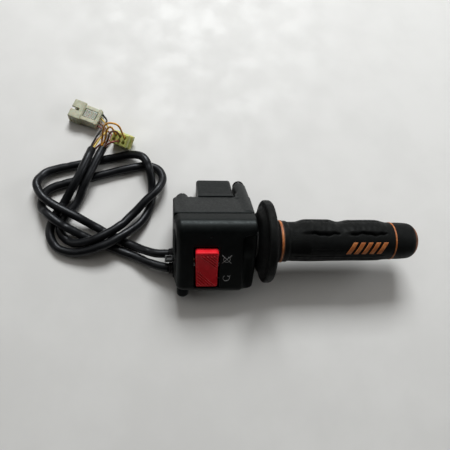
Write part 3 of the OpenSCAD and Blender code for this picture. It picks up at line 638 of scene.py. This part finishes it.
def front_half(x, t, r):
    rest = bench(t, r)
    f = rmax(rmax(-x, FRONT - r, 4), right_wall(x, r), 1.2)
    f = rmax(rmax(f, t - TOP - 0.045 * r, 1.2), BOTTOM - t, 2)
    f = rmax(f, rest, 1.5)
    outer = f
    for sx, st, seat, radius in BOSSES:
        f = rmin(f, rod(x - sx, t - st, r, radius, seat, -3, 0.8), 1.0)
    f = rmin(f, rod(x - 14.6, t - 20.4, r, 2.7, -33.6, -3, 0.8), 0.9)
    f = rmin(f, block(x, t, r, (50.3, 4, -39), (60, 23.6, -28), 1.5), 1.5)
    f = rmin(f, rmax(lug(x, t), rmax(-1.9 - r, r), 0.4), 0.5)
    f = rmax(f, r - SPLIT[0], 0.12)
    inner = rmax(outer + 2.3, r - 1)
    keep = rmin(np.hypot(x - 8, t - 18.4), np.hypot(x - 57, t - 20.6)) - 5.4
    keep = rmin(keep, np.hypot(x - 9, t + 19) - 4.8)
    f = rmax(f, -rmax(inner, -keep))
    f = rmin(f, rmax(rod(t, r, x, 14, 0.2, 14, 0.6), r - SPLIT[0]))
    f = rmax(f, -rod(x - 9, t + 19, r, 3.8, -60, -20, 0), 0.2)
    f = rmax(f, -bore(x, t, r), 0.3)
    return rmax(f, -block(x, t, r, (23.8, -8, -60), (48.2, 18, -21), 0.5))


def panel_edge(t):
    """Where the raised panel ends on the side of the grip."""
    return 51.1 - 0.05 * (t - 10)


def rear_half(x, t, r):
    left = -(x - 2.4 * r / REAR) * 0.99
    bottom = BOTTOM - 0.035 * np.minimum(x, 45) - t
    back = r - REAR + 0.0035 * np.maximum(t + 2, 0) ** 2
    profile = rmax(rmax(t - TOP + 0.05 * np.maximum(r, 0), back, 7), bottom, 5)
    shoulder = (13.2 + 0.284 * (x - 51.9) - t) * 0.96
    plan = rmax(rmin((x - panel_edge(t)) * 0.998, shoulder, 3), bottom, 5.5)
    high = rmax(rmax(profile, plan, 0.9), x - 61.9, 1.6)
    rise = 15.6 + 1.6 * smoothstep(-t, 12, 33)
    valley = rise - 1.9 * np.maximum(0, 1 - ((x - 56.2) / 4.6) ** 2)
    rim = 62.3 - 0.0022 * np.minimum(t + 8, 0) ** 2
    low = rmax(rmax((x - rim) * 0.98, bottom, 8), rmax(t - 15, -2 - r), 0.8)
    low = rmax(low, (r - valley) * 0.9, 1.1)
    low = rmin(low, rod(t, r, x, 14.3, 49, 62, 0.7), 1.5)
    f = rmin(high, low, 0.9)
    f = rmax(f, rmax(left, bottom, 5.5), 4.2)
    outer = f
    f = rmin(f, rmax(lug(x, t), rmax(-r, r - 12.4), 2.2), 1.0)
    f = rmax(f, SPLIT[1] - r, 0.3)
    inner = rmax(outer + 2.2, -r - 1)
    keep = np.hypot(x - 8, t - 18.4) - 5
    for sx, st, seat, head in SCREWS[1:3]:
        keep = rmin(keep, np.hypot(x - sx, t - st) - 5)
    f = rmax(f, -rmax(rmax(inner, x - 50), -keep))
    f = rmin(f, rmax(rod(t, r, x, 14, 0.2, 14, 0.6), SPLIT[1] - r))
    f = rmax(f, -bore(x, t, r), 0.3)
    window = block(x - 0.03 * (4.2 - t) + 0.25, t, r, (14.6, -31.1, 4), (34.4, 5.4, 40), 0.8)
    f = rmax(f, -window, 0.45)
    return rmax(f, -rod(x - 27.4, t - 13.4, r, 0.6, REAR - 2, 30, 0), 0.15)


carve("front_shell", front_half, (-1.2, -44.5, -58), (64.2, 27.5, 0.6), 0.5, HOUSING,
      replaced=["front_housing"])
carve("rear_shell", rear_half, (-1.2, -44.5, -0.7), (64.2, 26, 19.2), 0.45, HOUSING,
      replaced=["rear_housing"])


def cover(x, t, r):
    x0, x1, top, reach = COVER
    rest = bench(t, r)
    side = abs(x - (x0 + x1) / 2) - (x1 - x0) / 2
    top = top - 0.09 * (r - reach)
    f = rmax(rmax(side, t - top, 2.4), reach - r, 1.1)
    f = rmax(rmax(f, rest, 1.5), r - FRONT + 0.1)
    lip = rmax(rmax(side - 0.5, t - top - 0.35, 2.6), rmax(-35.2 - r, r - FRONT + 0.1), 0.4)
    f = rmin(f, rmax(lip, rest), 0.3)
    inside = rmax(rmax(side + 2, t - TOP + 3, 1), rmax(reach + 2 - r, rest + 2))
    return rmax(f, -inside)


carve("sensor_box", cover, (19, -1, -60.7), (51, 28, -31.6), 0.45, HOUSING,
      replaced=["sensor_cover"])


def screw_head(radius, tall):
    """Domed screw head seated at r = 0 and facing the low side, with a hexagon socket."""
    def shape(x, t, r):
        dome = np.sqrt(x * x + t * t + (r - 5) ** 2) - (5 + tall)
        f = rmax(rmax(np.hypot(x, t) - radius, r + 0.7, 0.3), dome, 0.5)
        f = rmin(f, rod(x, t, r, radius - 1.3, -1.2, 1.6, 0.1))
        socket = np.maximum(abs(x), abs(x) * 0.5 + abs(t) * 0.866) - 1.8
        return rmax(f, -rmax(socket, r + 1.6), 0.2)
    return shape


heads, sheets = [], []
for x, t, seat, radius in SCREWS:
    points, quads = nets(screw_head(radius, 3.2), (-radius - 0.6, -radius - 0.6, -3.8),
                         (radius + 0.6, radius + 0.6, 2), 0.22)
    sheets.append(quads + sum(len(h) for h in heads))
    heads.append(points + (x, t, seat))
    line = np.array([[seat + 0.1, 0.05], [seat + 0.1, 2.4], [10, 2.4], [10, 0.05]])
    points, faces = turned(line, 24)
    shank = points[:, [1, 2, 0]] + (x, t, 0)
    start = sum(len(h) for h in heads)
    heads.append(shank)
    sheets.append([[v + start for v in f] for f in faces])
make("screw_set", lie(np.vstack(heads)), [f for s in sheets for f in s], DARK_STEEL,
     replaced=["housing_screws"])


# ---------------------------------------------------------------- kill switch

def rocker(x, t, r):
    y, z = t - PIVOT_T, r - PIVOT_R
    y, z = (y * math.cos(TILT) + z * math.sin(TILT), z * math.cos(TILT) - y * math.sin(TILT))
    lean = 17 - y
    u = x - 24.4 - 0.03 * lean
    across = (u + y) * HALF
    corner = smoothstep(abs(across), 5.2, 6.2)
    ridges = np.maximum(0, np.cos((abs(across) - 9.6) * 2 * math.pi / 1.9)) ** 0.7
    inside = smoothstep(9 - abs(u), 1.0, 2.0) * smoothstep(16.8 - abs(y), 2.2, 3.2)
    crown = (z - 6.8 - y * y / 170 - 0.8 * corner * ridges * inside) * 0.93
    f = rmax(abs(y) - 16.9, abs(u) - 8.7 + 0.014 * lean, 1.8)
    f = rmax(f, crown, 1.3)
    f = rmax(f, 0.5 * y + 0.866 * z - 15.4, 0.5)
    f = rmax(f, -0.55 * y + 0.835 * z - 15.2, 0.5)
    return rmax(f, -2.5 - z + 0.25 * abs(y), 0.5)


carve("stop_rocker", rocker, (15, -31, 7), (34, 6, 26), 0.25, RED, "kill_rocker",
      ["kill_rocker"])


def strokes(name, lines, at):
    """Raised white mark on the panel, drawn as thin strokes."""
    points, faces, count = [], [], 0
    for line in lines:
        line = np.array([(x + at[0], t + at[1], REAR + 0.02) for x, t in line], float)
        p, f = swept(lie(line), 0.17, 8, lie((0, 0, 1)))
        points.append(p)
        faces += [[v + count for v in face] for face in f]
        count += len(p)
    make(name, np.vstack(points), faces, MARK)


def arc(radius, start, end, steps=40):
    return [(radius * math.cos(math.radians(a)), radius * math.sin(math.radians(a)))
            for a in np.linspace(start, end, steps)]


def straight(a, b, steps=12):
    return [(a[0] + (b[0] - a[0]) * s, a[1] + (b[1] - a[1]) * s) for s in np.linspace(0, 1, steps)]


# engine off: an arrow going round, crossed out; engine on: the arrow alone
round_arrow = [arc(2.5, 125, 395), straight((2.05, 1.44), (3.1, 2.3)),
               straight((2.05, 1.44), (0.8, 1.9))]
strokes("stop_mark", round_arrow + [straight((-3.6, -3.5), (3.6, 3.5)),
                                    straight((-3.6, 3.5), (3.6, -3.5))], (39.7, -5.2))
strokes("run_mark", round_arrow, (40.2, -22))


# ---------------------------------------------------------------- grip

GRIP_LINE = [
    (185.95, 0.02, 0), (185.95, 12.85, 0.3), (64, 12.85, 0.4), (64, 19.5, 1.0), (65.4, 23.4, 1.5),
    (67.6, 26, 2), (68.9, 28.4, 1.5), (69, 32.45, 2.8), (75.9, 32.45, 3.4), (75.9, 25, 6),
    (76.8, 19.4, 4), (81.2, 16.1, 0.5), (81.2, 14.7, 0.1), (84.2, 14.7, 0.1), (84.2, 16.3, 0.5),
    (87.6, 16.25, 0.8), (88.6, 15.5, 0.8), (96, 15.4, 8), (104, 15.8, 8), (138, 15.5, 20),
    (160, 15.7, 10), (173.4, 14.9, 0.4), (173.4, 14.5, 0.1), (174.7, 14.5, 0.1),
    (174.7, 14.8, 0.4), (182, 14.9, 5), (190.8, 14.1, 5), (195.4, 9.6, 4), (196, 4, 3),
    (195.9, 0.02, 0),
]


def band(v, a, b, soft):
    return smoothstep(v, a - soft, a + soft) * (1 - smoothstep(v, b - soft, b + soft))


def grip_swell(x, r, angle):
    """Relief of the grip: palm pads, wavy grooves between them and patches of diamonds."""
    on = band(x, 89.5, 170, 1.2) * (r > 15)
    a = (angle + 180) % 360 - 180
    arc_at = lambda degrees: (a - degrees) * r * math.pi / 180
    wave = 0.7 * np.sin(x * 0.31) + 0.35 * np.sin(x * 0.83)
    pads = np.maximum(band(x, 99, 126, 4.5), 0.8 * band(x, 135, 166, 5))
    swell = 1.75 * pads * band(a, 53 + wave, 152, 5)
    # grooves along the grip
    groove = np.exp(-((arc_at(49) - wave) / 0.75) ** 2)
    swell -= 1.3 * groove * np.maximum(band(x, 105, 128, 1), band(x, 137, 166, 2))
    swell -= 0.55 * np.exp(-((arc_at(2) - 0.3 * wave) / 0.6) ** 2) * band(x, 106, 134, 1)
    swell -= 0.7 * np.exp(-((arc_at(96) - wave) / 0.7) ** 2) * pads
    swell -= 0.6 * np.exp(-((arc_at(152) + wave) / 0.8) ** 2) * band(x, 91, 166, 2)
    # shallow steps across the pads
    swell += 0.12 * np.sin(x * 2 * math.pi / 4.6) * pads * band(a, 60, 92, 4)
    # diamonds, on the rider's side and all round the back
    u, v = x, arc_at(0)
    pitch = math.pi / 1.55
    diamond = np.abs(np.sin((u + 1.1 * v) * pitch) * np.sin((u - 1.1 * v) * pitch))
    patch = band(x, 90, 105.5, 0.6) * band(a, -10, 78, 1.5)
    patch = np.maximum(patch, band(x, 92, 166, 0.8) * np.maximum(band(a, -176, -118, 2),
                                                                  band(a, 158, 176, 2)))
    swell += 0.7 * (np.sqrt(diamond) - 0.4) * patch
    # long ribs underneath
    ribs = np.maximum(0, np.cos(arc_at(-60) * 2 * math.pi / 3.4)) ** 0.6
    swell += 0.28 * ribs * band(a, -112, -12, 2) * band(x, 92, 166, 1.5)
    return swell * on


line = rounded(GRIP_LINE, 0.32)
points, faces = turned(line, 320, grip_swell)
make("grip_sleeve", lie(points), faces, GRIP, "throttle", ["grip_rubber"])


def ring(name, x, wide, inner, outer, node, shader, grooves=()):
    corners = [(x, inner, 0), (x, outer, 0.35), (x + wide, outer, 0.35), (x + wide, inner, 0)]
    line = rounded(corners, 0.12)
    for at, deep in grooves:
        line[:, 1] -= np.where(line[:, 1] > outer - 0.4,
                               deep * np.exp(-((line[:, 0] - x - at) / 0.16) ** 2), 0)
    points, faces = turned(line, 200)
    return make(name, lie(points), faces[:-2] + bridge(len(line), 200), shader,
                "throttle", [node])


def bridge(rings, sides):
    """Quads that close a ring's inner side."""
    a, b = (rings - 1) * sides, 0
    return [[a + i, b + i, b + (i + 1) % sides, a + (i + 1) % sides] for i in range(sides)]


ring("hub_band", 81.25, 2.9, 14.75, 16.75, "hub_ring", BANDED, [(0.7, 0.3), (2.2, 0.3)])
ring("end_band", 173.45, 1.2, 14.5, 15.15, "end_ring", ORANGE)


def badge():
    """Five slanted bars, raised a little from the grip and following its round."""
    points, faces, count = [], [], 0
    across, down = 12, 26
    for bar in range(5):
        for layer, (base, shrink) in enumerate(((15.1, 0.0), (15.85, 0.0), (16.08, 0.22))):
            for j in range(down):
                v = -5 + shrink + (10 - 2 * shrink) * j / (down - 1)
                for i in range(across):
                    u = shrink + (3.6 - 2 * shrink) * i / (across - 1)
                    x = 133.5 + 6.2 * bar + u + (v + 5) / 2
                    a = math.radians(7) + v / 15.9
                    points.append((x, base * math.sin(a), base * math.cos(a)))
        n = across * down
        edge = (list(range(across))
                + [across * (j + 1) - 1 for j in range(1, down)]
                + [n - 2 - i for i in range(across - 1)]
                + [across * (down - 1 - j) for j in range(1, down - 1)])
        for a, b in ((0, n), (n, 2 * n)):
            faces += [[count + a + p, count + b + p, count + b + q, count + a + q]
                      for p, q in zip(edge, edge[1:] + edge[:1])]
        for j in range(down - 1):
            for i in range(across - 1):
                c = count + 2 * n + j * across + i
                faces.append([c, c + across, c + across + 1, c + 1])
                c = count + j * across + i
                faces.append([c, c + 1, c + across + 1, c + across])
        count += 3 * n
    make("grip_bars", lie(points), faces, ORANGE, "throttle", ["grip_badge"])


badge()


# ---------------------------------------------------------------- lead exits

def clip_shape(x, y, z):
    f = block(x, y, z, (-6.5, -12.3, -17), (0, -7.7, -10.4), 0.9)
    f = rmax(f, -block(x, y, z, (-5.2, -11.2, -11.6), (-1.4, -8.8, -9), 0.5), 0.3)
    return rmax(f, -rod(y + 10, z + 14.6, x, 1.1, -9, -4.5, 0), 0.3)


carve("lead_holder", clip_shape, (-7.4, -13.2, -18), (0.8, -6.8, -9.6), 0.22, CLIP,
      replaced=["lead_clip"], place=lambda p: p)


# ---------------------------------------------------------------- parts that stay as modelled

STAY = {
    "housing_seal": SOFT, "screw_inserts": BRASS, "cover_screws": DARK_STEEL,
    "sensor_bracket": INNER, "sensor_board": BOARD, "sensor_gear": GEAR, "sensor_magnet": STEEL,
    "throttle_tube": INNER, "drive_gear": GEAR, "tube_bush": SOFT, "return_spring": SPRING,
    "rocker_pin": STEEL, "rocker_contact": BRASS, "detent_spring": SPRING, "detent_ball": STEEL,
    "switch_base": LAMINATE, "fixed_contacts": BRASS, "switch_plug_terminals": TIN,
    "sensor_plug_terminals": TIN,
}
for node, shader in STAY.items():
    NODES[node].data.materials.clear()
    NODES[node].data.materials.append(shader.material)


# ---------------------------------------------------------------- studio

def floor():
    data = bpy.data.meshes.new("floor")
    z = (BENCH - 0.02) * MM
    data.from_pydata([(-2, -2, z), (2, -2, z), (2, 2, z), (-2, 2, z)], [], [(0, 1, 2, 3)])
    data.materials.append(finish_of("floor", (0.63, 0.625, 0.61), (0.66, 0.655, 0.64), (0.5, 0.7),
                                    patch=14, grain=500, depth=0.00003, strength=0.2).material)
    obj = bpy.data.objects.new("floor", data)
    bpy.context.scene.collection.objects.link(obj)


def area(name, at, aim, size, power, colour):
    light = bpy.data.lights.new(name, "AREA")
    light.shape = "RECTANGLE"
    light.size, light.size_y = size
    light.energy = power
    light.color = colour
    obj = bpy.data.objects.new(name, light)
    way = np.array(at, float) - np.array(aim, float)
    way /= np.linalg.norm(way)
    side = np.cross((0, 1, 0.01), way)
    side /= np.linalg.norm(side)
    rise = np.cross(way, side)
    obj.matrix_world = Matrix([[side[i], rise[i], way[i], at[i]] for i in range(3)]
                              + [[0, 0, 0, 1]])
    bpy.context.scene.collection.objects.link(obj)


floor()
area("window", (0.12, 1.15, 1.1), (0.05, 0, 0), (0.7, 0.5), 26, (0.97, 0.99, 1))
area("ceiling", (-0.2, 0.5, 1.3), (0.05, 0, 0), (1.4, 1), 1.9, (1, 0.96, 0.91))
area("right side", (0.95, 0.15, 0.5), (0.05, 0, 0), (0.3, 0.5), 2.2, (0.97, 0.99, 1))
area("left side", (-0.9, 0.3, 0.5), (0, 0, 0), (0.3, 0.5), 0.7, (0.97, 0.99, 1))


def room():
    """Plain room light, bright beyond the bench and dim on the viewer's side."""
    world = bpy.data.worlds.new("studio")
    bpy.context.scene.world = world
    world.use_nodes = True
    tree = world.node_tree
    place = tree.nodes.new("ShaderNodeTexCoord")
    parts = tree.nodes.new("ShaderNodeSeparateXYZ")
    fade = tree.nodes.new("ShaderNodeMapRange")
    tree.links.new(place.outputs["Generated"], parts.inputs[0])
    tree.links.new(parts.outputs["Y"], fade.inputs["Value"])
    for name, number in (("From Min", -0.5), ("From Max", 0.7), ("To Min", 0.035),
                         ("To Max", 0.22)):
        fade.inputs[name].default_value = number
    tree.links.new(fade.outputs["Result"], tree.nodes["Background"].inputs["Strength"])
    tree.nodes["Background"].inputs["Color"].default_value = (1, 0.96, 0.9, 1)


room()
bpy.context.scene.view_settings.view_transform = "Standard"
